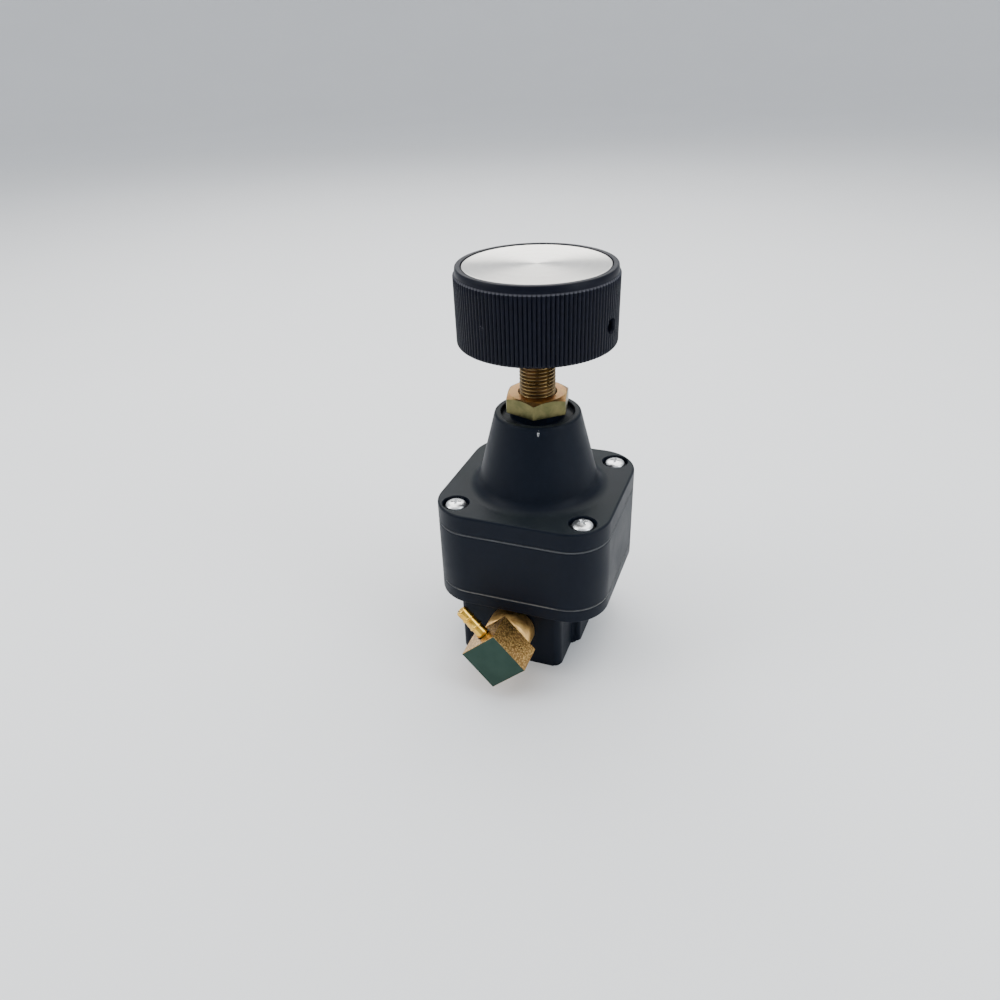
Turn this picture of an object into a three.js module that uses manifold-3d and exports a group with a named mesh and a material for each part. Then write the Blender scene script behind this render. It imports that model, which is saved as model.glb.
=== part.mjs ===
// Flow control valve: a hand knob loads a range spring and a double diaphragm, which opens a small
// supply valve in the port block. Millimetres, +Z up. The origin is the centre of the base's underside
// and the elbow fitting points along -Y.
import * as THREE from 'three';
import { mergeVertices } from 'three/addons/utils/BufferGeometryUtils.js';
import Module from 'manifold-3d';

const wasm = await Module();
wasm.setup();

// ---------------------------------------------------------------- driving sizes
const clearance = 0.3; // between two pieces that fit together
const roundSteps = 36; // facets round a large turned piece
const midSteps = 32; // facets round a piece of middling size
const past = 1; // how far a cutting tool runs past a face, or a joined piece into its neighbour
const smallSteps = 20; // facets round a pin, hole or screw
const coilSteps = 14; // stretches in one turn of a spring

const bodyWidth = 50;
const bodyCornerRadius = 11.5;
const chamberRadius = 15.5; // diaphragm chambers
const diaphragmThickness = 0.5;
const rollMargin = 0.1; // between a diaphragm's roll and the edges beside it

const portBlockHeight = 20.8; // floor to the underside of the base's flange
const portBlockHalfWidth = 16.6; // from the port axes
const portBlockHalfDepth = 20.8;
const portBlockCornerRadius = 2.2;
const notchWidth = 2.4; // relief in two opposite corners of the port block
const notchDepth = 13;
const baseFlangeThickness = 3.75;
const recessDepth = 5.05; // room for the lower plate
const webThickness = 5.5; // carries the valve seat
const middleBodyHeight = 18.7;
const ventRadius = 1.2;

const bonnetFlangeThickness = 5.75;
const coneHeight = 22.7;
const coneBottomRadius = 17.7;
const coneTopRadius = 12.1;
const coneFilletRadius = 3.6;
const rimRounding = 0.8;
const rimWall = 1.9;
const rimRecessDepth = 1.6;
const neckBossHeight = 0.9; // stands over the rim and carries the nut
const neckBossRadius = 7.4;
const bonnetWall = 3.2;
const bonnetCeilingThickness = 5.1; // below the recess

const screwSpacing = 36.6;
const screwShankRadius = 1.35;
const screwHeadRadius = 3;
const screwHeadHeight = 2.1;
const screwSinkDepth = 1.6; // counterbore in the bonnet's flange
const screwSinkRadius = 3.75;
const screwBite = 2.6; // length held in the base
const crossSlotWidth = 0.7;
const crossSlotLength = 3;
const crossSlotDepth = 0.9;

const bushingRadius = 4.95;
const bushingCollarRadius = 7.5;
const bushingCollarThickness = 1.5;
const bushingTopAboveNut = 14.9;
const bushingChamfer = 0.5;
const nutAcrossFlats = 16;
const nutHeight = 4.8;
const nutFaceInset = 0.3; // its round end face inside the flats
const nutCornerAngle = -78.6;

const knobSteps = 56;
const knobTopRadius = 21.4;
const knobBottomRadius = 21.2;
const knobHeight = 20.2;
const knobFloorGap = 0.4; // the bushing's end stands this far inside the knob
const knobTravel = 4;
const knobEdge = 0.8;
const knobTopChamfer = 1.4;
const knobSkirt = 3.4;
const knobHubRadius = 8.8;
const knobTopThickness = 4.6;
const inlayRadius = 19;
const inlayThickness = 0.8;
const inlaySink = 0.2; // below the knob's top ring
const inlayWeb = 1.3; // plastic between the inlay and the screw's bore
const setScrewRadius = 1.4;
const setScrewLength = 5;
const setScrewDrop = 13.3; // below the knob's top
const setScrewAngle = -11.5;
const setScrewSocketRadius = 0.75;
const setScrewSocketDepth = 1.5;

const screwStemRadius = 2.95; // adjusting screw
const screwTipLength = 1.4;
const buttonRadius = 9.2;
const buttonThickness = 3;
const buttonDimpleDepth = 1.2;
const buttonHubHeight = 1.8;
const buttonDrop = 0.5; // below the bushing's collar when the knob is right up
const rangeSpringRadius = 7.6;
const rangeSpringWire = 1.05;
const rangeSpringTurns = 5.5;

const plateRadius = 11;
const plateThickness = 1.2;
const hubRadius = 2.6; // plate hubs that enter the relief spool
const hubLength = 3.4;
const reliefRadius = 1.2;
const spoolRadius = 7;

const seatRadius = 4.3;
const seatFlange = 1.5;
const seatFlangeThickness = 0.9;
const seatBore = 2.2;
const seatLipWidth = 0.7;
const seatLipHeight = 0.6;
const valveChamberRadius = 6.2;
const valveHeadRadius = 4.2;
const valveHeadThickness = 2.2;
const valveStemRadius = 1.5;
const valveTravel = 0.8;
const valveSpringRadius = 2.8;
const valveSpringWire = 0.4;
const valveSpringTurns = 5;
const plugRadius = 7;
const plugHeight = 5;
const plugGuideDepth = 3.5;
const plugGrooveHeight = 2.6; // middle of the O-ring's groove above the floor
const spannerHoleRadius = 0.9;
const spannerHoleSpacing = 8.4;
const spannerHoleDepth = 1.3;
const ringWire = 0.5;

const portHeight = 12.7; // port axes above the floor
const portOffset = -1.2; // of the port axes and their block to the left of the knob's axis
const portRadius = 5.05;
const portDepth = 9.8;
const galleryRadius = 1.2;
const screenThickness = 0.8;
const screenHoleRadius = 0.55;
const screenHoleCircle = 2.8;
const screenHoleCount = 8; // round the middle one

const elbowStubLength = 6.6;
const elbowCollarRadius = 6.8;
const elbowChamfer = 0.9;
const elbowBlockWidth = 13.2;
const elbowBlockLength = 9.4;
const elbowTurn = 42.5;
const elbowBore = 2.5;
const elbowCollarReach = 3.6; // beyond the base's flange
const barbSetback = 4.4; // from the block's inner face to the barb's axis
const barbReach = 9.7; // out of the block's face
const barbSocketDepth = 3.4;
const barbRadius = 1.55;
const barbRidgeRadius = 1.9;
const barbBore = 0.9;
const barbRidgeFlat = 0.8;
const barbRidgeTaper = 1.6;
const barbRidgePitch = 2.7;
const barbTipLength = 2.6; // outside the last ridge's crest
const barbTipChamfer = 0.25;

// ---------------------------------------------------------------- heights that follow
const baseTop = portBlockHeight + baseFlangeThickness;
const recessFloor = baseTop - recessDepth;
const webBottom = recessFloor - webThickness;
const portEnd = portBlockHalfDepth - portDepth; // blind end of a port, from the valve's axis
const middleBottom = baseTop + diaphragmThickness;
const middleTop = middleBottom + middleBodyHeight;
const bonnetBottom = middleTop + diaphragmThickness;
const flangeTop = bonnetBottom + bonnetFlangeThickness;
const rimTop = flangeTop + coneHeight;
const rimFloor = rimTop - rimRecessDepth;
const nutBottom = rimTop + neckBossHeight;
const nutTop = nutBottom + nutHeight;
const bonnetCeiling = rimFloor - bonnetCeilingThickness;
const bushingBottom = bonnetCeiling - bushingCollarThickness;
const bushingTop = nutTop + bushingTopAboveNut;
const knobBottom = bushingTop - knobFloorGap;
const knobTop = knobBottom + knobHeight;
const knobBoreFloor = bushingTop + knobTravel + clearance;
const inlayFloor = knobTop - inlayThickness - inlaySink;
const knobBoreTop = inlayFloor - inlayWeb;
const buttonTop = bushingBottom - buttonDrop;
const buttonBottom = buttonTop - buttonThickness;
const upperPlateTop = bonnetBottom + plateThickness;
const lowerPlateBottom = baseTop - plateThickness;
const seatBottom = webBottom - seatLipHeight;
const valveHeadTop = seatBottom - clearance;
const valveHeadBottom = valveHeadTop - valveHeadThickness;
const valveStemEnd = plugHeight - plugGuideDepth + valveTravel + clearance;
const elbowCollarLength = bodyWidth / 2 - portBlockHalfDepth + elbowCollarReach;
const barbDistance = elbowCollarLength + barbSetback;
const corners = [[-1, -1], [-1, 1], [1, -1], [1, 1]];
const screwPlaces = corners.map((corner) => corner.map((side) => (side * screwSpacing) / 2));

// ---------------------------------------------------------------- solids
function solidOf(geometry) {
  const bare = geometry.clone();
  bare.deleteAttribute('normal');
  bare.deleteAttribute('uv');
  const merged = mergeVertices(bare, 1e-4);
  const points = merged.attributes.position;
  const triangles = [];
  let volume = 0;
  for (let i = 0; i < merged.index.count; i += 3) {
    const [a, b, c] = [0, 1, 2].map((k) => merged.index.getX(i + k));
    if (a === b || b === c || a === c) continue;
    triangles.push(a, b, c);
    const [p, q, r] = [a, b, c].map((k) => new THREE.Vector3().fromBufferAttribute(points, k));
    volume += p.dot(q.cross(r));
  }
  if (volume < 0) triangles.reverse();
  const mesh = new wasm.Mesh({
    numProp: 3,
    vertProperties: new Float32Array(points.array),
    triVerts: new Uint32Array(triangles),
  });
  return new wasm.Manifold(mesh);
}

function geometryOf(solid) {
  const mesh = solid.getMesh();
  const geometry = new THREE.BufferGeometry();
  geometry.setAttribute('position', new THREE.BufferAttribute(new Float32Array(mesh.vertProperties), 3));
  geometry.setIndex(new THREE.BufferAttribute(new Uint32Array(mesh.triVerts), 1));
  return geometry;
}

function cut(geometry, ...tools) {
  return geometryOf(tools.reduce((body, tool) => body.subtract(solidOf(tool)), solidOf(geometry)));
}

function join(geometry, ...more) {
  return geometryOf(more.reduce((body, piece) => body.add(solidOf(piece)), solidOf(geometry)));
}

function common(geometry, other) {
  return geometryOf(solidOf(geometry).intersect(solidOf(other)));
}

// A profile of [radius, height] pairs turned about +Z. It starts and ends on the axis or closes on itself.
function turned(profile, steps = roundSteps) {
  const points = profile.map(([radius, height]) => new THREE.Vector2(radius, height));
  const onAxis = points[0].x === 0 && points.at(-1).x === 0;
  if (!onAxis) points.push(points[0].clone());
  return new THREE.LatheGeometry(points, steps).rotateX(Math.PI / 2);
}

function rod(radius, bottom, top, steps = smallSteps) {
  return turned([[0, bottom], [radius, bottom], [radius, top], [0, top]], steps);
}

function tube(inner, outer, bottom, top, steps = smallSteps) {
  return turned([[inner, bottom], [outer, bottom], [outer, top], [inner, top]], steps);
}

function arc(centreRadius, centreHeight, radius, from, to, steps = 8) {
  return Array.from({ length: steps + 1 }, (_, i) => {
    const angle = THREE.MathUtils.degToRad(from + ((to - from) * i) / steps);
    return [centreRadius + radius * Math.cos(angle), centreHeight + radius * Math.sin(angle)];
  });
}

// A quarter ellipse from a rim up to the axis.
function dome(radius, rim, crown, steps = 4) {
  return Array.from({ length: steps + 1 }, (_, i) => {
    const angle = (Math.PI / 2) * (i / steps);
    return [i < steps ? radius * Math.cos(angle) : 0, rim + (crown - rim) * Math.sin(angle)];
  });
}

function prism(shape, bottom, top) {
  const settings = { depth: top - bottom, bevelEnabled: false, curveSegments: 4 };
  return new THREE.ExtrudeGeometry(shape, settings).translate(0, 0, bottom);
}

// A closed outline of right-angled corners [x, y, radius].
function roundedOutline(turns) {
  const shape = new THREE.Shape();
  turns.forEach(([x, y, radius], i) => {
    const corner = new THREE.Vector2(x, y);
    const towards = ([u, v]) => new THREE.Vector2(u, v).sub(corner).normalize();
    const before = towards(turns.at(i - 1));
    const after = towards(turns[(i + 1) % turns.length]);
    const centre = corner.clone().addScaledVector(before, radius).addScaledVector(after, radius);
    const start = after.clone().negate().angle();
    const end = before.clone().negate().angle();
    shape.absarc(centre.x, centre.y, radius, start, end, before.cross(after) > 0);
  });
  shape.closePath();
  return shape;
}

function bodyOutline() {
  const half = bodyWidth / 2;
  const turns = [[-half, -half], [half, -half], [half, half], [-half, half]];
  return roundedOutline(turns.map(([x, y]) => [x, y, bodyCornerRadius]));
}

function screwHoles(radius, bottom, top) {
  return screwPlaces.map(([x, y]) => rod(radius, bottom, top).translate(x, y, 0));
}

// A round wire wound about +Z between two heights, with its ends cut square.
function coil(radius, wire, bottom, top, turns) {
  class Helix extends THREE.Curve {
    getPoint(t, target = new THREE.Vector3()) {
      const angle = 2 * Math.PI * turns * t;
      const height = bottom + wire + (top - bottom - 2 * wire) * t;
      return target.set(radius * Math.cos(angle), radius * Math.sin(angle), height);
    }
  }
  const section = new THREE.Shape().absarc(0, 0, wire, 0, 2 * Math.PI);
  return new THREE.ExtrudeGeometry(section, {
    steps: Math.round(turns * coilSteps),
    extrudePath: new Helix(),
    curveSegments: 4,
  });
}

// ---------------------------------------------------------------- base and its valve
function portBlockOutline() {
  const x = portBlockHalfWidth;
  const y = portBlockHalfDepth;
  const outer = portBlockCornerRadius;
  const step = notchWidth / 2;
  return roundedOutline([
    [-x, -y, outer], [x - notchWidth, -y, outer],
    [x - notchWidth, notchDepth - y, step], [x, notchDepth - y, step],
    [x, y, outer], [notchWidth - x, y, outer],
    [notchWidth - x, y - notchDepth, step], [-x, y - notchDepth, step],
  ]);
}

function portBore(side) {
  return rod(portRadius, portEnd, portBlockHalfDepth + past, midSteps)
    .rotateX(side < 0 ? Math.PI / 2 : -Math.PI / 2)
    .translate(portOffset, 0, portHeight);
}

function base() {
  const block = prism(portBlockOutline(), 0, portBlockHeight + past).translate(portOffset, 0, 0);
  const flange = prism(bodyOutline(), portBlockHeight, baseTop);
  const outletGallery = rod(galleryRadius, portHeight, recessFloor + past)
    .translate(portOffset, -portEnd - galleryRadius, 0);
  const inletGallery = rod(galleryRadius, 0, portEnd + past)
    .rotateX(-Math.PI / 2)
    .translate(portOffset, 0, portHeight);
  return cut(
    join(block, flange),
    rod(chamberRadius, recessFloor, baseTop + past, roundSteps),
    rod(seatRadius + clearance, webBottom - past, recessFloor + past, midSteps),
    rod(valveChamberRadius, plugHeight - past, webBottom, midSteps),
    rod(plugRadius + clearance, -past, plugHeight, midSteps),
    portBore(-1),
    portBore(1),
    outletGallery,
    inletGallery,
    ...screwHoles(screwShankRadius + clearance, baseTop - screwBite - clearance, baseTop + past),
  );
}

function seatRing() {
  const flangeRadius = seatRadius + seatFlange;
  const flangeHeight = recessFloor + seatFlangeThickness;
  const profile = [
    [seatBore, seatBottom], [seatBore + seatLipWidth, seatBottom], [seatBore + seatLipWidth, webBottom],
    [seatRadius, webBottom], [seatRadius, recessFloor], [flangeRadius, recessFloor],
    [flangeRadius, flangeHeight], [seatBore, flangeHeight],
  ];
  return turned(profile, midSteps);
}

function valvePoppet() {
  const profile = [
    [0, valveStemEnd], [valveStemRadius, valveStemEnd],
    [valveStemRadius, valveHeadBottom], [valveHeadRadius, valveHeadBottom],
    [valveHeadRadius, valveHeadTop], [valveStemRadius, valveHeadTop],
    [valveStemRadius, lowerPlateBottom - clearance], [0, lowerPlateBottom - clearance],
  ];
  return turned(profile, midSteps);
}

function bottomPlug() {
  const grooveRadius = plugRadius - 2 * ringWire - clearance;
  const half = ringWire + clearance;
  const profile = [
    [0, 0], [plugRadius, 0], [plugRadius, plugGrooveHeight - half], [grooveRadius, plugGrooveHeight - half],
    [grooveRadius, plugGrooveHeight + half], [plugRadius, plugGrooveHeight + half],
    [plugRadius, plugHeight], [valveStemRadius + clearance, plugHeight],
    [valveStemRadius + clearance, plugHeight - plugGuideDepth], [0, plugHeight - plugGuideDepth],
  ];
  const spannerHoles = [-1, 1].map((side) =>
    rod(spannerHoleRadius, -past, spannerHoleDepth, 16).translate((side * spannerHoleSpacing) / 2, 0, 0),
  );
  return cut(turned(profile, midSteps), ...spannerHoles);
}

function plugRing() {
  const ring = new THREE.TorusGeometry(plugRadius - ringWire, ringWire, 8, midSteps);
  return ring.translate(0, 0, plugGrooveHeight);
}

function inletScreen() {
  const bottom = portEnd + clearance;
  const disc = rod(portRadius - clearance, bottom, bottom + screenThickness, midSteps);
  const hole = rod(screenHoleRadius, bottom - past, bottom + screenThickness + past, 12);
  const ring = Array.from({ length: screenHoleCount }, (_, i) =>
    hole.clone().translate(screenHoleCircle, 0, 0).rotateZ((2 * Math.PI * i) / screenHoleCount),
  );
  return cut(disc, hole, ...ring)
    .rotateX(-Math.PI / 2)
    .translate(portOffset, 0, portHeight);
}

// ---------------------------------------------------------------- diaphragms and what they carry
// A clamped sheet whose free ring rolls towards the vented chamber between the two diaphragms.
function diaphragm(bottom, rollSide) {
  const top = bottom + diaphragmThickness;
  const middle = bottom + diaphragmThickness / 2;
  const rollCentre = (plateRadius + chamberRadius) / 2;
  const rollRadius = (chamberRadius - plateRadius) / 2 - diaphragmThickness / 2 - rollMargin;
  const outer = rollRadius + diaphragmThickness / 2;
  const inner = rollRadius - diaphragmThickness / 2;
  const clampRadius = chamberRadius + past;
  const near = rollSide < 0 ? bottom : top;
  const far = rollSide < 0 ? top : bottom;
  const bite = THREE.MathUtils.radToDeg(Math.asin(diaphragmThickness / 2 / outer));
  const profile = [
    [hubRadius + clearance, near],
    ...arc(rollCentre, middle, outer, rollSide * (180 - bite), rollSide * bite, 6),
    [clampRadius, near], [clampRadius, far], [rollCentre + inner, far],
    ...arc(rollCentre, middle, inner, 0, rollSide * 180, 5),
    [rollCentre - inner, far], [hubRadius + clearance, far],
  ];
  const holes = screwHoles(screwShankRadius + clearance, bottom - past, top + past);
  const room = rod(chamberRadius, bottom - past, top + past, roundSteps);
  const sheet = cut(prism(bodyOutline(), bottom, top), room, ...holes);
  return join(sheet, turned(profile));
}

function lowerPlate() {
  const profile = [
    [reliefRadius, lowerPlateBottom], [plateRadius, lowerPlateBottom], [plateRadius, baseTop],
    [hubRadius, baseTop], [hubRadius, baseTop + hubLength], [reliefRadius, baseTop + hubLength],
  ];
  return turned(profile, roundSteps);
}

function upperPlate() {
  const springInner = rangeSpringRadius - rangeSpringWire;
  const boss = springInner - clearance;
  const profile = [
    [0, bonnetBottom - hubLength], [hubRadius, bonnetBottom - hubLength], [hubRadius, bonnetBottom],
    [plateRadius, bonnetBottom], [plateRadius, upperPlateTop], [boss, upperPlateTop],
    [boss, upperPlateTop + rangeSpringWire], [0, upperPlateTop + rangeSpringWire],
  ];
  return turned(profile, roundSteps);
}

function reliefSpool() {
  const socket = hubLength + clearance;
  const crossHeight = middleBottom + socket + reliefRadius;
  const socketTop = crossHeight + reliefRadius;
  const crossHole = rod(reliefRadius, -spoolRadius - past, spoolRadius + past).rotateY(Math.PI / 2);
  return cut(
    rod(spoolRadius, middleBottom, middleTop, midSteps),
    rod(hubRadius + clearance, middleBottom - past, socketTop),
    rod(hubRadius + clearance, middleTop - socket, middleTop + past),
    crossHole.translate(0, 0, crossHeight),
  );
}

function middleBody() {
  const vent = rod(ventRadius, 0, bodyWidth).rotateY(-Math.PI / 2);
  return cut(
    prism(bodyOutline(), middleBottom, middleTop),
    rod(chamberRadius, middleBottom - past, middleTop + past, roundSteps),
    vent.translate(0, 0, (middleBottom + middleTop) / 2),
    ...screwHoles(screwShankRadius + clearance, middleBottom - past, middleTop + past),
  );
}

// ---------------------------------------------------------------- bonnet and its fasteners
function coneRadiusAt(height) {
  const share = (height - flangeTop) / coneHeight;
  return coneBottomRadius + (coneTopRadius - coneBottomRadius) * share;
}

function bonnet() {
  const foot = coneRadiusAt(flangeTop + coneFilletRadius);
  const fillet = arc(foot + coneFilletRadius, flangeTop + coneFilletRadius, coneFilletRadius, 270, 180, 6);
  const rim = arc(coneTopRadius - rimRounding, rimTop - rimRounding, rimRounding, 0, 90, 4);
  const cone = [
    [0, bonnetBottom + past], [foot + coneFilletRadius, bonnetBottom + past], ...fillet, ...rim,
    [coneTopRadius - rimWall, rimTop], [coneTopRadius - rimWall, rimFloor], [neckBossRadius, rimFloor],
    [neckBossRadius, nutBottom], [0, nutBottom],
  ];
  const shoulder = bonnetBottom + bonnetFlangeThickness / 2;
  const room = [
    [0, bonnetBottom - past], [chamberRadius, bonnetBottom - past], [chamberRadius, shoulder],
    [coneRadiusAt(flangeTop) - bonnetWall, flangeTop],
    [coneRadiusAt(bonnetCeiling) - bonnetWall, bonnetCeiling], [0, bonnetCeiling],
  ];
  return cut(
    join(prism(bodyOutline(), bonnetBottom, flangeTop), turned(cone)),
    turned(room),
    rod(bushingRadius + clearance, bonnetCeiling - past, nutBottom + past, midSteps),
    ...screwHoles(screwSinkRadius, flangeTop - screwSinkDepth, flangeTop + past),
    ...screwHoles(screwShankRadius + clearance, bonnetBottom - past, flangeTop),
  );
}

function coverScrew() {
  const seat = flangeTop - screwSinkDepth;
  const crown = seat + screwHeadHeight;
  const profile = [
    [0, baseTop - screwBite], [screwShankRadius, baseTop - screwBite], [screwShankRadius, seat],
    [screwHeadRadius, seat], ...dome(screwHeadRadius, seat + screwHeadHeight / 2, crown),
  ];
  const slot = new THREE.BoxGeometry(crossSlotLength, crossSlotWidth, 2 * crossSlotDepth);
  slot.translate(0, 0, crown);
  return cut(turned(profile, smallSteps), slot, slot.clone().rotateZ(Math.PI / 2));
}

function bushing() {
  const bore = screwStemRadius + clearance;
  const profile = [
    [bore, bushingBottom], [bushingCollarRadius, bushingBottom], [bushingCollarRadius, bonnetCeiling],
    [bushingRadius, bonnetCeiling], [bushingRadius, bushingTop - bushingChamfer],
    [bushingRadius - bushingChamfer, bushingTop], [bore, bushingTop],
  ];
  return turned(profile, midSteps);
}

function panelNut() {
  const cornerRadius = nutAcrossFlats / Math.sqrt(3);
  const faceRadius = nutAcrossFlats / 2 - nutFaceInset;
  const hexagon = new THREE.CylinderGeometry(cornerRadius, cornerRadius, nutHeight, 6, 1)
    .rotateX(Math.PI / 2)
    .rotateZ(THREE.MathUtils.degToRad(nutCornerAngle + 90))
    .translate(0, 0, nutBottom + nutHeight / 2);
  const chamferRise = (cornerRadius - faceRadius) * Math.tan(Math.PI / 6);
  const chamfered = [
    [0, nutBottom - past], [cornerRadius + past, nutBottom - past],
    [cornerRadius + past, nutTop - chamferRise],
    [cornerRadius, nutTop - chamferRise], [faceRadius, nutTop], [0, nutTop],
  ];
  const bore = rod(bushingRadius + clearance, nutBottom - past, nutTop + past, midSteps);
  return cut(common(hexagon, turned(chamfered)), bore);
}

// ---------------------------------------------------------------- knob, screw, button and spring
function knob() {
  const skirtInner = knobBottomRadius - knobSkirt;
  const ceiling = knobTop - knobTopThickness;
  const outerAt = (height) =>
    knobBottomRadius + ((knobTopRadius - knobBottomRadius) * (height - knobBottom)) / knobHeight;
  const profile = [
    [skirtInner, knobBottom],
    ...arc(knobBottomRadius - knobEdge, knobBottom + knobEdge, knobEdge, 270, 360, 4),
    [outerAt(knobTop - knobTopChamfer), knobTop - knobTopChamfer],
    [knobTopRadius - knobTopChamfer / 2, knobTop],
    [inlayRadius + clearance, knobTop], [inlayRadius + clearance, inlayFloor], [0, inlayFloor],
    [0, knobBoreTop], [screwStemRadius + clearance, knobBoreTop],
    [screwStemRadius + clearance, knobBoreFloor], [bushingRadius + 2 * clearance, knobBoreFloor],
    [bushingRadius + 2 * clearance, knobBottom], [knobHubRadius, knobBottom], [knobHubRadius, ceiling],
    [skirtInner, ceiling],
  ];
  const hole = rod(setScrewRadius + clearance, screwStemRadius, knobTopRadius + past).rotateY(Math.PI / 2);
  return cut(turned(profile, knobSteps), placeOnKnob(hole));
}

function placeOnKnob(geometry) {
  return geometry.rotateZ(THREE.MathUtils.degToRad(setScrewAngle)).translate(0, 0, knobTop - setScrewDrop);
}

function knobSetScrew() {
  const start = screwStemRadius + 2 * clearance;
  const end = start + setScrewLength;
  const socket = rod(setScrewSocketRadius, end - setScrewSocketDepth, end + past, 6);
  return placeOnKnob(cut(rod(setScrewRadius, start, end, 20), socket).rotateY(Math.PI / 2));
}

function knobInlay() {
  return rod(inlayRadius, inlayFloor, inlayFloor + inlayThickness, knobSteps);
}

function adjustingScrew() {
  const tip = buttonTop - buttonDimpleDepth + clearance;
  const profile = [
    ...dome(screwStemRadius, tip + screwTipLength, tip).reverse(),
    [screwStemRadius, knobBoreTop - clearance], [0, knobBoreTop - clearance],
  ];
  return turned(profile, smallSteps);
}

function springButton() {
  const hub = rangeSpringRadius - rangeSpringWire - clearance;
  const dimple = screwStemRadius + 2 * clearance;
  const profile = [
    [0, buttonBottom - buttonHubHeight], [hub, buttonBottom - buttonHubHeight], [hub, buttonBottom],
    [buttonRadius, buttonBottom], [buttonRadius, buttonTop], [dimple, buttonTop],
    [dimple, buttonTop - buttonDimpleDepth], [0, buttonTop - buttonDimpleDepth],
  ];
  return turned(profile, roundSteps);
}

function rangeSpring() {
  const from = upperPlateTop + clearance;
  return coil(rangeSpringRadius, rangeSpringWire, from, buttonBottom - clearance, rangeSpringTurns);
}

function valveSpring() {
  const from = plugHeight + clearance;
  return coil(valveSpringRadius, valveSpringWire, from, valveHeadBottom - clearance, valveSpringTurns);
}

// ---------------------------------------------------------------- elbow fitting
// Both pieces are drawn with +Z out of the port and are turned to face -Y by their group.
const barbDirection = THREE.MathUtils.degToRad(elbowTurn + 90);

function alongBarb(geometry) {
  return geometry
    .rotateY(Math.PI / 2)
    .rotateZ(barbDirection)
    .translate(0, 0, barbDistance);
}

function elbowBody() {
  const stub = portRadius - clearance;
  const intoBlock = elbowCollarLength + past;
  const collar = [
    [0, -elbowStubLength], [stub, -elbowStubLength], [stub, 0], [elbowCollarRadius - elbowChamfer, 0],
    [elbowCollarRadius, elbowChamfer], [elbowCollarRadius, elbowCollarLength - elbowChamfer],
    [elbowCollarRadius - elbowChamfer, elbowCollarLength], [elbowCollarRadius - elbowChamfer, intoBlock],
    [0, intoBlock],
  ];
  const block = new THREE.BoxGeometry(elbowBlockWidth, elbowBlockWidth, elbowBlockLength)
    .translate(0, 0, elbowCollarLength + elbowBlockLength / 2)
    .rotateZ(THREE.MathUtils.degToRad(elbowTurn));
  const socketFloor = elbowBlockWidth / 2 - barbSocketDepth - clearance;
  const socket = rod(barbRadius + clearance, socketFloor, elbowBlockWidth);
  return cut(
    join(turned(collar), block),
    rod(elbowBore, -elbowStubLength - past, barbDistance + elbowBore),
    alongBarb(rod(barbBore + clearance, 0, elbowBlockWidth, 16)),
    alongBarb(socket),
  );
}

function elbowBarb() {
  const face = elbowBlockWidth / 2;
  const ridge = (start) => [
    [barbRadius, start], [barbRidgeRadius, start], [barbRidgeRadius, start + barbRidgeFlat],
    [barbRadius, start + barbRidgeFlat + barbRidgeTaper],
  ];
  const tip = face + barbReach;
  const lastRidge = tip - barbTipLength;
  const profile = [
    [barbBore, face - barbSocketDepth], [barbRadius, face - barbSocketDepth],
    ...ridge(lastRidge - barbRidgePitch), ...ridge(lastRidge),
    [barbRadius, tip - barbTipChamfer], [barbRadius - barbTipChamfer, tip], [barbBore, tip],
  ];
  return alongBarb(turned(profile, smallSteps));
}

// ---------------------------------------------------------------- materials and assembly
const black = { color: 0x22272e, roughness: 0.5, metalness: 0.1 };
const blackPaint = { color: 0x2b3238, roughness: 0.55, metalness: 0.2 };
const rubber = { color: 0x8f979c, roughness: 0.8, metalness: 0 };
const brass = { color: 0xb9a15a, roughness: 0.35, metalness: 1 };
const steel = { color: 0xb8bab8, roughness: 0.3, metalness: 1 };
const zinc = { color: 0xdcdfe0, roughness: 0.25, metalness: 1 };
const aluminium = { color: 0xc9cacb, roughness: 0.35, metalness: 1 };

function piece(name, geometry, look) {
  const mesh = new THREE.Mesh(geometry, new THREE.MeshStandardMaterial(look));
  mesh.name = name;
  return mesh;
}

const elbow = new THREE.Group().add(
  piece('elbow_body', elbowBody(), brass),
  piece('elbow_barb', elbowBarb(), brass),
);
elbow.position.set(portOffset, -portBlockHalfDepth, portHeight);
elbow.rotation.x = Math.PI / 2;

const coverScrews = screwPlaces.map(([x, y], i) => {
  const screw = piece(`cover_screw_${i + 1}`, coverScrew(), zinc);
  screw.position.set(x, y, 0);
  return screw;
});

const valve = new THREE.Group().add(
  piece('base', base(), blackPaint),
  piece('seat_ring', seatRing(), brass),
  piece('valve_poppet', valvePoppet(), steel),
  piece('valve_spring', valveSpring(), steel),
  piece('bottom_plug', bottomPlug(), aluminium),
  piece('plug_o_ring', plugRing(), rubber),
  piece('inlet_screen', inletScreen(), steel),
  piece('lower_diaphragm', diaphragm(baseTop, 1), rubber),
  piece('lower_plate', lowerPlate(), aluminium),
  piece('relief_spool', reliefSpool(), aluminium),
  piece('middle_body', middleBody(), blackPaint),
  piece('upper_diaphragm', diaphragm(middleTop, -1), rubber),
  piece('upper_plate', upperPlate(), aluminium),
  piece('range_spring', rangeSpring(), steel),
  piece('spring_button', springButton(), steel),
  piece('bonnet', bonnet(), blackPaint),
  piece('bushing', bushing(), brass),
  piece('panel_nut', panelNut(), brass),
  piece('adjusting_screw', adjustingScrew(), steel),
  piece('knob', knob(), black),
  piece('knob_inlay', knobInlay(), aluminium),
  piece('knob_set_screw', knobSetScrew(), black),
  ...coverScrews,
  elbow,
);

export default valve;
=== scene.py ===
"""Looks of the flow control valve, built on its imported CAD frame. Lengths are metres; mm() converts."""
import math

import bmesh
import bpy
from mathutils import Matrix, Vector


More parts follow.
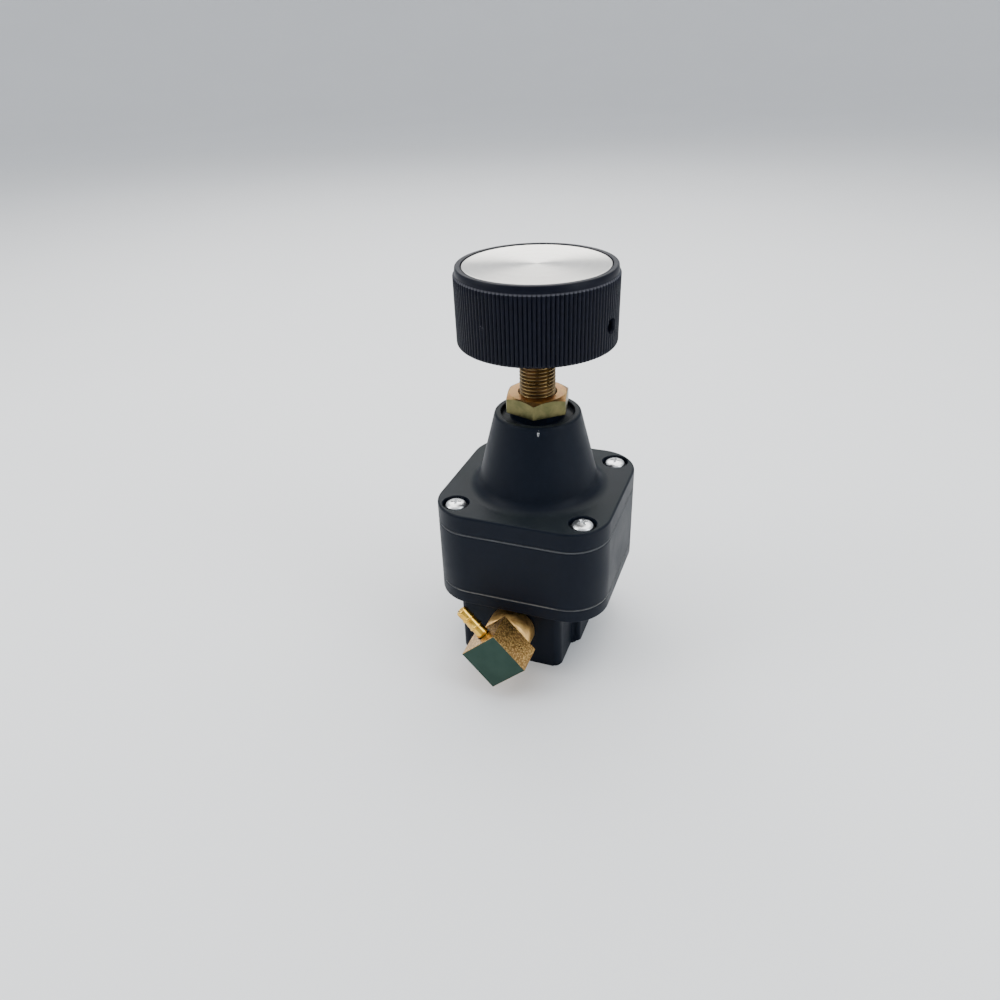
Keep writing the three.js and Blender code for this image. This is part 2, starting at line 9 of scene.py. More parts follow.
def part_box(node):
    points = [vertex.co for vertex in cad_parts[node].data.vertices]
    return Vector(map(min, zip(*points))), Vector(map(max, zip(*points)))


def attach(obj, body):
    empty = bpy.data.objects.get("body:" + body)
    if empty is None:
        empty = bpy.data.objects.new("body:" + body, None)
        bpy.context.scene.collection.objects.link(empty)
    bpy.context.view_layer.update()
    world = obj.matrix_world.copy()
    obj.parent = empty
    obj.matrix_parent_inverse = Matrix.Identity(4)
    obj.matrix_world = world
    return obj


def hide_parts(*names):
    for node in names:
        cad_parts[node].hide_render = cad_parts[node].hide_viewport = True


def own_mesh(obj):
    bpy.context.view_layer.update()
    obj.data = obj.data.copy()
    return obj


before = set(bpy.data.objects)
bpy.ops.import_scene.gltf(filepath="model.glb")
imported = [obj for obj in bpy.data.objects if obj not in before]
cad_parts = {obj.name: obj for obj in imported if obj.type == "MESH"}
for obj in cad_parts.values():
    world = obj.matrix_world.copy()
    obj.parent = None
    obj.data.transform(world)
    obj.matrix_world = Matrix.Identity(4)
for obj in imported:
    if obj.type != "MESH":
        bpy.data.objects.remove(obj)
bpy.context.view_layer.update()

QUARTER = math.pi / 2
TINY = 1e-9
MERGE_DISTANCE = 1e-7
# Degrees between two faces beyond which their edge is sharp, by the kind of surface.
NUT_EDGE, MACHINED_EDGE, BLOCK_EDGE, CAST_EDGE = 20.0, 30.0, 35.0, 40.0
MOULDED_EDGE, SPUN_EDGE, THREAD_EDGE = 50.0, 60.0, 70.0


def mm(value):
    return value * 0.001


def low(node):
    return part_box(node)[0]


def high(node):
    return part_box(node)[1]


# ------------------------------------------------------------------ sizes read from the frame
BODY_HALF = high("middle_body").x
BODY_CORNER = mm(11.5)
SCREW_SPACING = high("cover_screw_4").x + low("cover_screw_4").x
COUNTERBORE_DEPTH = mm(1.6)
BONNET_BOTTOM = low("bonnet").z
NUT_BOTTOM, NUT_TOP = low("panel_nut").z, high("panel_nut").z
TOWER_AND_BOSS, BOSS_PROUD = mm(23.6), mm(0.9)
FLANGE_TOP = high("bonnet").z - TOWER_AND_BOSS
RIM_TOP = NUT_BOTTOM - BOSS_PROUD
BUSHING_TOP = high("bushing").z
KNOB_BOTTOM, KNOB_TOP = low("knob").z, high("knob").z
KNOB_RADIUS = high("knob").y
PORT_X = (low("elbow_body").x + high("elbow_body").x) / 2
PORT_Z = (low("elbow_body").z + high("elbow_body").z) / 2
BLOCK_HALF_WIDTH, BLOCK_HALF_DEPTH, BLOCK_CORNER = mm(16.6), mm(20.8), mm(2.2)
PORT_FACE = -BLOCK_HALF_DEPTH
PORT_CENTRE = Matrix.Translation((PORT_X, 0, PORT_Z))
TOWARD_REAR = PORT_CENTRE @ Matrix.Rotation(-QUARTER, 4, "X")
TOWARD_FRONT = PORT_CENTRE @ Matrix.Rotation(QUARTER, 4, "X")
BARB_AXIS_Y = (low("elbow_barb").y + high("elbow_barb").y) / 2
CHAMBER_RADIUS = mm(15.5)
SCREW_BORE = mm(3.25)


# ------------------------------------------------------------------ mesh helpers
def mark_edges(bm, sharp_angle):
    """Smooth faces, with the edges that turn by more than the angle left sharp."""
    limit = math.radians(sharp_angle)
    for edge in bm.edges:
        edge.smooth = len(edge.link_faces) == 2 and edge.calc_face_angle(0.0) < limit
    for face in bm.faces:
        face.smooth = True


def finish_mesh(bm, name, sharp_angle=CAST_EDGE):
    """Cleans a bmesh, marks its sharp edges and returns a linked object."""
    bmesh.ops.remove_doubles(bm, verts=bm.verts, dist=MERGE_DISTANCE)
    bmesh.ops.recalc_face_normals(bm, faces=bm.faces)
    mark_edges(bm, sharp_angle)
    mesh = bpy.data.meshes.new(name)
    bm.to_mesh(mesh)
    bm.free()
    obj = bpy.data.objects.new(name, mesh)
    bpy.context.scene.collection.objects.link(obj)
    return obj


def drawn(base, pairs):
    """(radius, height) pairs in millimetres, with heights counted from base, as a profile in metres."""
    return [(mm(radius), base + mm(height)) for radius, height in pairs]


def circle(radius, height, steps):
    """Points round the vertical axis, or the one point on it."""
    if radius < TINY:
        return [(0.0, 0.0, height)]
    angles = (2 * math.pi * i / steps for i in range(steps))
    return [(radius * math.cos(a), radius * math.sin(a), height) for a in angles]


def loft(bm, rings, closed_profile=False):
    """Faces between rings of equal length; a ring of one point is a pole. Returns the rings of vertices."""
    made = [[bm.verts.new(p) for p in ring] for ring in rings]
    pairs = list(zip(made, made[1:]))
    if closed_profile:
        pairs.append((made[-1], made[0]))
    for a, b in pairs:
        count = max(len(a), len(b))
        for i in range(count):
            j = (i + 1) % count
            corners = [a[i % len(a)], a[j % len(a)], b[j % len(b)], b[i % len(b)]]
            corners = [v for k, v in enumerate(corners) if v not in corners[:k]]
            if len(corners) >= 3:
                bm.faces.new(corners)
    return made


def closed_ends(bm, rings):
    """Faces between rings, with both ends closed. Returns the lower end's face."""
    made = loft(bm, rings)
    lower = bm.faces.new(list(reversed(made[0])))
    bm.faces.new(made[-1])
    return lower


def lathe(bm, profile, steps=96):
    """Turns (radius, height) pairs about the vertical axis. The profile ends on the axis or is a loop."""
    return loft(bm, [circle(r, z, steps) for r, z in profile], closed_profile=profile[0][0] > TINY)


def turned(name, profile, steps, sharp_angle=CAST_EDGE):
    """A finished piece turned from its profile."""
    bm = bmesh.new()
    lathe(bm, profile, steps)
    return finish_mesh(bm, name, sharp_angle)


def arc(centre_r, centre_z, radius, start, end, steps=6):
    """Profile points along an arc, with its angles in degrees."""
    points = []
    for i in range(steps + 1):
        angle = math.radians(start + (end - start) * i / steps)
        points.append((centre_r + radius * math.cos(angle), centre_z + radius * math.sin(angle)))
    return points


def rounded_square(half, corner, inset=0.0, steps=16):
    """Points round a square with arc corners, pulled in by inset."""
    points = []
    radius = corner - inset
    for quarter in range(4):
        diagonal = (quarter + 0.5) * QUARTER
        cx = math.copysign(half - corner, math.cos(diagonal))
        cy = math.copysign(half - corner, math.sin(diagonal))
        for i in range(steps + 1):
            angle = (quarter + i / steps) * QUARTER
            points.append((cx + radius * math.cos(angle), cy + radius * math.sin(angle)))
    return points


def slab(bm, outline, bottom, top, lower_edge, upper_edge, steps=4):
    """A solid between two heights whose rims are rounded. outline(inset) gives its points."""
    angles = [QUARTER * i / steps for i in range(steps + 1)]
    rounding = [(1 - math.sin(a), 1 - math.cos(a)) for a in angles]
    levels = [(bottom + lower_edge * rise, lower_edge * inset) for rise, inset in reversed(rounding)]
    levels += [(top - upper_edge * drop, upper_edge * inset) for drop, inset in rounding]
    closed_ends(bm, [[(x, y, z) for x, y in outline(inset)] for z, inset in levels])


def evaluated(obj):
    """The object's mesh with its modifiers applied, in place."""
    depsgraph = bpy.context.evaluated_depsgraph_get()
    mesh = bpy.data.meshes.new_from_object(obj.evaluated_get(depsgraph))
    obj.modifiers.clear()
    obj.data = mesh
    return obj


def boolean(obj, *tools, operation="DIFFERENCE"):
    """Cuts obj with each tool in turn, and removes the tools."""
    for tool in tools:
        modifier = obj.modifiers.new("cut", "BOOLEAN")
        modifier.operation = operation
        modifier.solver = "EXACT"
        modifier.object = tool
    bpy.context.view_layer.update()
    evaluated(obj)
    for tool in tools:
        bpy.data.objects.remove(tool)
    return obj


def sharpen(obj, sharp_angle):
    """Sharp edges by angle and area-weighted normals, so that flat faces stay flat beside rounded rims."""
    bm = bmesh.new()
    bm.from_mesh(obj.data)
    mark_edges(bm, sharp_angle)
    bm.to_mesh(obj.data)
    bm.free()
    modifier = obj.modifiers.new("flat_faces", "WEIGHTED_NORMAL")
    modifier.keep_sharp = True
    modifier.weight = 80
    return obj


def turned_tool(profile, steps=64, matrix=None):
    """A cutting tool turned from its profile."""
    tool = turned("tool", profile, steps)
    if matrix is not None:
        tool.data.transform(matrix)
    return tool


def drill(radius, bottom, top, steps=64):
    """A plain round cutting tool between two heights."""
    return turned_tool([(0.0, bottom), (radius, bottom), (radius, top), (0.0, top)], steps)


def place(obj, body, node=None, slot=None, material=None):
    """Gives a finished piece its material and body, and hides the CAD node that it stands for; slot is not
    used.
    """
    if material is not None:
        obj.data.materials.clear()
        obj.data.materials.append(material)
    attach(obj, body)
    if node:
        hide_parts(node)


# ------------------------------------------------------------------ material helpers
class Nodes:
    """A material's node tree with short calls for the nodes used here."""

    def __init__(self, name):
        self.material = bpy.data.materials.new(name)
        self.material.use_nodes = True
        self.tree = self.material.node_tree
        self.shader = self.tree.nodes["Principled BSDF"]
        self.where = self.tree.nodes.new("ShaderNodeTexCoord").outputs["Object"]

    def add(self, kind, **values):
        node = self.tree.nodes.new(kind)
        for key, value in values.items():
            setattr(node, key, value)
        return node

    def link(self, source, target):
        self.tree.links.new(source, target)

    def noise(self, scale, detail=3.0, roughness=0.55, distortion=0.0, where=None):
        node = self.add("ShaderNodeTexNoise")
        node.inputs["Scale"].default_value = scale
        node.inputs["Detail"].default_value = detail
        node.inputs["Roughness"].default_value = roughness
        node.inputs["Distortion"].default_value = distortion
        self.link(where or self.where, node.inputs["Vector"])
        return node.outputs["Fac"]

    def stretched(self, scale):
        node = self.add("ShaderNodeMapping")
        node.inputs["Scale"].default_value = scale
        self.link(self.where, node.inputs["Vector"])
        return node.outputs["Vector"]

    def spread(self, value, from_low, from_high, to_low, to_high):
        node = self.add("ShaderNodeMapRange")
        keys = ("From Min", "From Max", "To Min", "To Max")
        for key, number in zip(keys, (from_low, from_high, to_low, to_high)):
            node.inputs[key].default_value = number
        self.link(value, node.inputs["Value"])
        return node.outputs["Result"]

    def math(self, operation, a, b=None):
        node = self.add("ShaderNodeMath", operation=operation)
        for slot, value in zip(node.inputs, (a, b)):
            if value is None:
                continue
            if isinstance(value, (int, float)):
                slot.default_value = value
            else:
                self.link(value, slot)
        return node.outputs[0]

    def mix(self, share, first, second):
        node = self.add("ShaderNodeMix", data_type="RGBA")
        self.link(share, node.inputs["Factor"])
        for key, value in (("A", first), ("B", second)):
            sockets = [s for s in node.inputs if s.name == key and s.type == "RGBA"]
            if isinstance(value, tuple):
                sockets[0].default_value = (*value, 1.0)
            else:
                self.link(value, sockets[0])
        return next(s for s in node.outputs if s.type == "RGBA")

    def bump(self, height, strength, distance, below=None):
        node = self.add("ShaderNodeBump")
        node.inputs["Strength"].default_value = strength
        node.inputs["Distance"].default_value = distance
        self.link(height, node.inputs["Height"])
        if below is not None:
            self.link(below, node.inputs["Normal"])
        return node.outputs["Normal"]

    def radius(self, centre=(0.0, 0.0, 0.0), weights=(1.0, 1.0, 0.0)):
        """Distance from the vertical axis, or from a point when the weights take in height."""
        node = self.add("ShaderNodeVectorMath", operation="SUBTRACT")
        self.link(self.where, node.inputs[0])
        node.inputs[1].default_value = centre
        scaled = self.add("ShaderNodeVectorMath", operation="MULTIPLY")
        self.link(node.outputs["Vector"], scaled.inputs[0])
        scaled.inputs[1].default_value = weights
        length = self.add("ShaderNodeVectorMath", operation="LENGTH")
        self.link(scaled.outputs["Vector"], length.inputs[0])
        return length.outputs["Value"]

    def outward(self, scale):
        """A coordinate that changes only with the distance from the vertical axis, for turning marks."""
        along = self.add("ShaderNodeCombineXYZ")
        self.link(self.math("MULTIPLY", self.radius(), scale), along.inputs[0])
        return along.outputs[0]

    def axis(self, letter):
        node = self.add("ShaderNodeSeparateXYZ")
        self.link(self.where, node.inputs[0])
        return node.outputs[letter]

    def upward(self):
        node = self.add("ShaderNodeNewGeometry")
        parts = self.add("ShaderNodeSeparateXYZ")
        self.link(node.outputs["Normal"], parts.inputs[0])
        return parts.outputs["Z"]

    def set(self, colour=None, roughness=None, normal=None, **plain):
        for socket, value in (("Base Color", colour), ("Roughness", roughness), ("Normal", normal)):
            if value is None:
                continue
            if isinstance(value, tuple):
                self.shader.inputs[socket].default_value = (*value, 1.0)
            elif isinstance(value, (int, float)):
                self.shader.inputs[socket].default_value = value
            else:
                self.link(value, self.shader.inputs[socket])
        for name, value in plain.items():
            self.shader.inputs[name.replace("_", " ")].default_value = value
        return self.material


def painted_casting():
    """Satin black paint on a die casting: fine orange peel, dust on upward faces, one chip near the rim."""
    deep_paint, thin_paint = (0.0014, 0.0032, 0.0078), (0.0028, 0.0058, 0.0125)
    dust_tone, bare_zinc = (0.015, 0.019, 0.02), (0.55, 0.56, 0.56)
    chip_place, chip_shape = (mm(3.9), mm(-11.6), mm(71.3)), (2.4, 1.0, 0.8)
    n = Nodes("painted_casting")
    cloud = n.noise(90.0, detail=4.0)
    speck = n.noise(2600.0, detail=2.0, roughness=0.7)
    paint = n.mix(cloud, deep_paint, thin_paint)
    dust = n.math("MULTIPLY", n.spread(n.upward(), 0.75, 1.0, 0.0, 1.0), n.spread(cloud, 0.3, 0.75, 0.35, 0.9))
    colour = n.mix(dust, paint, dust_tone)
    chip = n.spread(n.radius(chip_place, chip_shape), mm(0.4), mm(0.8), 1.0, 0.0)
    chip = n.math("MULTIPLY", chip, n.spread(n.noise(1900.0), 0.45, 0.55, 0.0, 1.0))
    colour = n.mix(chip, colour, bare_zinc)
    rough = n.spread(n.math("ADD", cloud, n.math("MULTIPLY", speck, 0.4)), 0.4, 1.0, 0.4, 0.56)
    peel = n.bump(n.noise(1500.0, detail=2.0), 0.16, mm(0.06))
    normal = n.bump(speck, 0.1, mm(0.03), peel)
    return n.set(colour, rough, normal, Specular_IOR_Level=0.115)


def knob_plastic():
    """Black moulded phenolic with a faint navy cast, worn on its ribs' crests, with a painted highlight on the
    ribs' top ends and one scuff.
    """
    dark_plastic, light_plastic = (0.001, 0.0017, 0.0055), (0.002, 0.003, 0.009)
    crest_wear, end_glint, scuff_tone = (0.006, 0.0075, 0.016), (0.13, 0.13, 0.15), (0.16, 0.15, 0.17)
    crest_depth, end_height = mm(0.9), KNURL_TOP - mm(0.24)
    scuff_azimuth, scuff_height, scuff_shape = math.radians(-112.0), KNOB_BOTTOM + mm(8.9), (0.6, 1.0, 1.0)
    scuff_place = (KNOB_RADIUS * math.cos(scuff_azimuth), KNOB_RADIUS * math.sin(scuff_azimuth), scuff_height)
    n = Nodes("knob_plastic")
    cloud = n.noise(140.0, detail=4.0)
    crest = n.spread(n.radius(), KNOB_RADIUS - crest_depth, KNOB_RADIUS, 0.0, 1.0)
    base = n.mix(cloud, dark_plastic, light_plastic)
    worn = n.math("MULTIPLY", crest, n.spread(n.noise(700.0), 0.4, 0.75, 0.1, 0.75))
    colour = n.mix(worn, base, crest_wear)
    # Painted highlight: a pale band on the rib crests just below the knurl's top, standing in for the rib ends
    # catching the light.
    from_end = n.math("ABSOLUTE", n.math("SUBTRACT", n.axis("Z"), end_height))
    at_end = n.spread(from_end, mm(0.14), mm(0.26), 1.0, 0.0)
    rib_end_glint = n.math("MULTIPLY", at_end, n.math("MULTIPLY", crest, 0.5))
    colour = n.mix(rib_end_glint, colour, end_glint)
    scuff = n.spread(n.radius(scuff_place, scuff_shape), mm(0.3), mm(0.7), 1.0, 0.0)
    scuff = n.math("MULTIPLY", scuff, n.spread(n.noise(2400.0), 0.5, 0.62, 0.0, 1.0))
    colour = n.mix(scuff, colour, scuff_tone)
    rough = n.spread(n.math("ADD", cloud, worn), 0.3, 1.4, 0.34, 0.55)
    normal = n.bump(n.noise(3200.0, detail=2.0), 0.12, mm(0.03))
    return n.set(colour, rough, normal, Specular_IOR_Level=0.12)


def spun_aluminium():
    """A disc with concentric turning marks that spread each light into a pair of wedges."""
    grey_mark, bright_mark = (0.85, 0.825, 0.775), (0.99, 0.97, 0.925)
    n = Nodes("spun_aluminium")
    marks = n.noise(1.0, detail=3.0, roughness=0.7, where=n.outward(9000.0))
    bands = n.noise(1.0, detail=1.0, where=n.outward(500.0))
    shade = n.math("ADD", n.math("MULTIPLY", marks, 0.6), n.math("MULTIPLY", bands, 0.4))
    colour = n.mix(n.spread(shade, 0.35, 0.65, 0.0, 1.0), grey_mark, bright_mark)
    rough = n.spread(marks, 0.3, 0.7, 0.24, 0.36)
    normal = n.bump(marks, 0.3, mm(0.01))
    tangent = n.add("ShaderNodeTangent", direction_type="RADIAL", axis="Z")
    n.link(tangent.outputs[0], n.shader.inputs["Tangent"])
    return n.set(colour, rough, normal, Metallic=1.0, Anisotropic=0.8, Anisotropic_Rotation=0.25)


def metal(name, dark, light, rough_low, rough_high, scale=220.0, grain=0.12, fine=1800.0, grime=None):
    """A worked metal: cloudy tone, fine grain and, where a dark tone is given, grime in blotches."""
    n = Nodes(name)
    cloud = n.noise(scale, detail=4.0)
    fine_grain = n.noise(fine, detail=3.0, roughness=0.65)
    colour = n.mix(n.spread(cloud, 0.3, 0.7, 0.0, 1.0), dark, light)
    if grime:
        blotch = n.spread(n.noise(scale * 1.9, detail=5.0, distortion=0.4), 0.52, 0.68, 0.0, 0.65)
        colour = n.mix(blotch, colour, grime)
    texture = n.math("ADD", n.math("MULTIPLY", cloud, 0.6), n.math("MULTIPLY", fine_grain, 0.4))
    rough = n.spread(texture, 0.3, 0.7, rough_low, rough_high)
    normal = n.bump(fine_grain, grain, mm(0.03))
    return n.set(colour, rough, normal, Metallic=1.0)


def neck_brass():
    """Threaded brass with random brown stains; the thread's roots are painted dark as painted shade."""
    shaded_root, crest_brass, stain = (0.02, 0.013, 0.006), (0.34, 0.235, 0.105), (0.34, 0.2, 0.1)
    n = Nodes("neck_brass")
    crest = n.spread(n.radius(), mm(4.35), mm(4.9), 0.0, 1.0)
    cloud = n.noise(320.0, detail=4.0)
    # Painted shade: the colour darkens from the crests down into the thread's roots.
    colour = n.mix(crest, shaded_root, crest_brass)
    colour = n.mix(n.spread(cloud, 0.5, 0.75, 0.0, 0.45), colour, stain)
    rough = n.spread(cloud, 0.3, 0.7, 0.22, 0.4)
    normal = n.bump(n.noise(2400.0, detail=2.0), 0.12, mm(0.02))
    return n.set(colour, rough, normal, Metallic=1.0)


def dimpled_brass():
    """Forged fitting skin: a field of small rounded dimples over bronze-gold metal."""
    dimples_per_metre, dimple_softness = 1900.0, 0.6
    gold_rise, bronze_pit, stain = (0.95, 0.61, 0.21), (0.38, 0.2, 0.055), (0.36, 0.22, 0.11)
    n = Nodes("dimpled_brass")
    cells = n.add("ShaderNodeTexVoronoi", feature="SMOOTH_F1")
    cells.inputs["Scale"].default_value = dimples_per_metre
    cells.inputs["Smoothness"].default_value = dimple_softness
    n.link(n.where, cells.inputs["Vector"])
    pit = cells.outputs["Distance"]
    cloud = n.noise(260.0, detail=4.0)
    colour = n.mix(n.spread(pit, 0.15, 0.6, 0.0, 1.0), gold_rise, bronze_pit)
    colour = n.mix(n.spread(cloud, 0.45, 0.75, 0.0, 0.4), colour, stain)
    rough = n.spread(cloud, 0.3, 0.7, 0.26, 0.42)
    coarse = n.bump(pit, 0.6, mm(0.14))
    normal = n.bump(n.noise(2600.0), 0.15, mm(0.04), coarse)
    return n.set(colour, rough, normal, Metallic=1.0)


def milled_brass():
    """Sawn and milled end of the fitting with faint parallel cutter lines, coloured a dark olive that is
    painted shade and reflection.
    """
    shaded_olive_dark, shaded_olive_light = (0.021, 0.042, 0.034), (0.038, 0.068, 0.054)
    cutter_lines = (5200.0, 60.0, 90.0)
    n = Nodes("milled_brass")
    lines = n.noise(1.0, detail=4.0, roughness=0.7, where=n.stretched(cutter_lines))
    # Painted shade and reflection: the end face is given a near-black olive instead of the brass of the sides.
    colour = n.mix(n.noise(160.0, detail=4.0), shaded_olive_dark, shaded_olive_light)
    rough = n.spread(lines, 0.3, 0.7, 0.3, 0.46)
    normal = n.bump(lines, 0.22, mm(0.02))
    return n.set(colour, rough, normal, Metallic=1.0)


def nut_metal():
    """Yellow-passivated steel with mottled tone; upward faces get a lighter, warmer copy as a painted
    highlight, and the flats a darker, greener copy as painted shade.
    """
    dark_flat, light_flat = (0.085, 0.083, 0.036), (0.16, 0.14, 0.062)
    top_highlight_dark, top_highlight_light = (0.4, 0.2, 0.075), (0.58, 0.36, 0.13)
    n = Nodes("nut_metal")
    # Painted highlight: faces that look upward take the lighter, warmer tone; the flats keep the darker,
    # greener one as painted shade.
    top = n.spread(n.upward(), 0.3, 0.95, 0.0, 1.0)
    cloud = n.noise(330.0, detail=4.0, distortion=0.6)
    shaded_flats = n.mix(n.spread(cloud, 0.35, 0.7, 0.0, 1.0), dark_flat, light_flat)
    face = n.mix(n.spread(cloud, 0.35, 0.7, 0.0, 1.0), top_highlight_dark, top_highlight_light)
    colour = n.mix(top, shaded_flats, face)
    rough = n.spread(cloud, 0.3, 0.7, 0.28, 0.44)
    normal = n.bump(n.noise(1600.0, detail=3.0), 0.14, mm(0.04))
    return n.set(colour, rough, normal, Metallic=1.0)


def rubber(name, base, line=None):
    """Moulded rubber; line is (height, tone) of a pale broken band painted along the seam as a highlight."""
    mottle = 1.5
    n = Nodes(name)
    cloud = n.noise(500.0, detail=3.0)
    colour = n.mix(cloud, base, tuple(c * mottle for c in base))
    if line:
        # Painted highlight: a pale broken band at one height along the sheet's edge.
        height, tone = line
        away = n.math("ABSOLUTE", n.math("SUBTRACT", n.axis("Z"), height))
        edge = n.spread(away, mm(0.08), mm(0.16), 1.0, 0.0)
        broken = n.spread(n.noise(260.0, detail=3.0), 0.4, 0.58, 0.05, 1.0)
        colour = n.mix(n.math("MULTIPLY", edge, broken), colour, tone)
    normal = n.bump(n.noise(1800.0, detail=3.0), 0.3, mm(0.04))
    return n.set(colour, 0.7, normal)


# ------------------------------------------------------------------ the knob
RIBS, STEPS_PER_RIB = 120, 8
RIB_DEPTH, RIB_FULLNESS = mm(0.42), 0.7
RIB_END = mm(0.06)
KNOB_TAPER = mm(0.2)
KNURL_TOP = KNOB_TOP - mm(1.85)
SIDE_HOLE_DROP, SIDE_HOLE_AZIMUTH = mm(13.3), math.radians(-11.5)


def knob_radius(height):
    """Outside of the knob's slight taper, on the crests of its ribs."""
    share = (height - KNOB_BOTTOM) / (KNOB_TOP - KNOB_BOTTOM)
    return KNOB_RADIUS - KNOB_TAPER * (1 - share)


def ribbed_ring(height, depth, shrink=0.0):
    """Points round the knob, with a round-topped rib between two narrow valleys of the given depth."""
    steps = RIBS * STEPS_PER_RIB
    points = []
    for i in range(steps):
        angle = 2 * math.pi * i / steps
        wave = abs(math.sin(RIBS * angle / 2)) ** RIB_FULLNESS
        radius = knob_radius(height) - shrink - depth * (1 - wave)
        points.append((radius * math.cos(angle), radius * math.sin(angle), height))
    return points


def knob_underside():
    """Profile of the hollow skirt, the hub, the neck's room and the adjusting screw's bore."""
    skirt, hub, neck_room, screw_bore = 17.8, 8.8, 5.55, SCREW_BORE / mm(1)
    profile = drawn(KNOB_BOTTOM, [(skirt, 0)])
    profile += drawn(KNOB_TOP, [(skirt, -4.8), (skirt - 0.2, -4.6), (hub + 0.2, -4.6), (hub, -4.8)])
    profile += drawn(KNOB_BOTTOM, [(hub, 0.2), (hub - 0.2, 0), (neck_room + 0.2, 0), (neck_room, 0.2)])
    profile += drawn(BUSHING_TOP, [(neck_room, 4.3), (screw_bore, 4.3)])
    return profile + drawn(KNOB_TOP, [(screw_bore, -2.3), (0, -2.3)])


def knob():
    """Ribbed skirt, plain top ring with the inlay's seat, hollow underside with its hub."""
    steps = RIBS * STEPS_PER_RIB
    rounding, rounding_steps = mm(0.8), 5
    flat_foot, crown, lip = mm(20.0), mm(20.3), mm(0.5)
    underside = knob_underside()
    rings = [circle(r, z, steps) for r, z in (underside[0], (flat_foot, KNOB_BOTTOM))]
    for i in range(1, rounding_steps + 1):
        angle = QUARTER * i / rounding_steps
        height = KNOB_BOTTOM + rounding * (1 - math.cos(angle))
        rings.append(ribbed_ring(height, RIB_DEPTH * i / rounding_steps, rounding * (1 - math.sin(angle))))
    for share in (0.25, 0.5, 0.75, 0.9):
        rings.append(ribbed_ring(KNOB_BOTTOM + (KNURL_TOP - KNOB_BOTTOM) * share, RIB_DEPTH))
    rings.append(ribbed_ring(KNURL_TOP - RIB_DEPTH, RIB_DEPTH))
    rings.append(ribbed_ring(KNURL_TOP - mm(0.05), RIB_END, RIB_DEPTH - RIB_END))
    valley = knob_radius(KNURL_TOP) - RIB_DEPTH
    top = [(valley - mm(0.02), KNURL_TOP), (valley - mm(0.04), KNURL_TOP + mm(0.25))]
    top += arc(crown, KNOB_TOP - lip, lip, 25, 90, 5)
    top += drawn(KNOB_TOP, [(19.42, 0), (19.3, -0.1), (19.3, -1.0), (0, -1.0)])
    bm = bmesh.new()
    loft(bm, rings + [circle(r, z, steps) for r, z in top])
    loft(bm, [circle(r, z, steps) for r, z in underside])
    obj = finish_mesh(bm, "ribbed_knob", MOULDED_EDGE)
    sideways = Matrix.Rotation(SIDE_HOLE_AZIMUTH, 4, "Z") @ Matrix.Rotation(QUARTER, 4, "Y")
    side_hole = drawn(0.0, [(0, 2.9), (1.7, 2.9), (1.7, 20.5), (2.05, 20.95), (2.05, 23), (0, 23)])
    boolean(obj, turned_tool(side_hole, 40, Matrix.Translation((0, 0, KNOB_TOP - SIDE_HOLE_DROP)) @ sideways))
    return sharpen(obj, MOULDED_EDGE)


def inlay():
    """Disc with a fine turned lip at its rim and a tiny centre mark."""
    bottom, top = low("knob_inlay").z, high("knob_inlay").z
    lip = mm(0.12)
    profile = drawn(bottom, [(0, 0), (18.9, 0), (19.0, 0.1)]) + [(mm(19.0), top - lip)]
    profile += arc(mm(18.88), top - lip, lip, 20, 90, 3)
    profile += drawn(top, [(18.6, 0), (18.5, -0.03), (0.25, -0.03), (0, -0.06)])
    return turned("inlay_disc", profile, 192, SPUN_EDGE)


# ------------------------------------------------------------------ neck and nut
VEE_STEEPNESS, CREST_FLAT = 1.25, 0.12


def thread_wall(outer, depth, pitch, bottom, top, steps, rows_per_turn, inward=1):
    """Rings of a helical V thread; the crests fade out over the first and last turn. inward is -1 in a bore."""
    rows = int((top - bottom) / pitch * rows_per_turn)
    rings = []
    for row in range(rows + 1):
        height = bottom + (top - bottom) * row / rows
        fade = min(1.0, (height - bottom) / pitch, (top - height) / pitch)
        ring = []
        for i in range(steps):
            angle = 2 * math.pi * i / steps
            phase = (height / pitch - i / steps) % 1.0
            vee = min(1.0, max(0.0, abs(2 * phase - 1) * VEE_STEEPNESS - CREST_FLAT))
            radius = outer - inward * depth * (1 - (1 - vee) * fade)
            ring.append((radius * math.cos(angle), radius * math.sin(angle), height))
        rings.append(ring)
    return rings


def bushing():
    """M10x1 neck with its collar inside the bonnet and the bore for the adjusting screw."""
    outer, depth, pitch, collar = mm(4.95), mm(0.58), mm(1.0), mm(7.5)
    collar_bottom = low("bushing").z
    collar_top = collar_bottom + mm(1.5)
    steps = 72
    root = outer - depth
    foot = [(SCREW_BORE, collar_bottom), (collar, collar_bottom), (collar, collar_top), (root, collar_top)]
    mouth = [(root - mm(0.05), BUSHING_TOP - mm(0.1)), (mm(4.2), BUSHING_TOP), (SCREW_BORE, BUSHING_TOP)]
    rings = [circle(r, z, steps) for r, z in foot]
    rings += thread_wall(outer, depth, pitch, collar_top + mm(0.1), BUSHING_TOP - mm(0.5), steps, 10)
    rings += [circle(r, z, steps) for r, z in mouth]
    bm = bmesh.new()
    loft(bm, rings, closed_profile=True)
    return finish_mesh(bm, "threaded_neck", THREAD_EDGE)


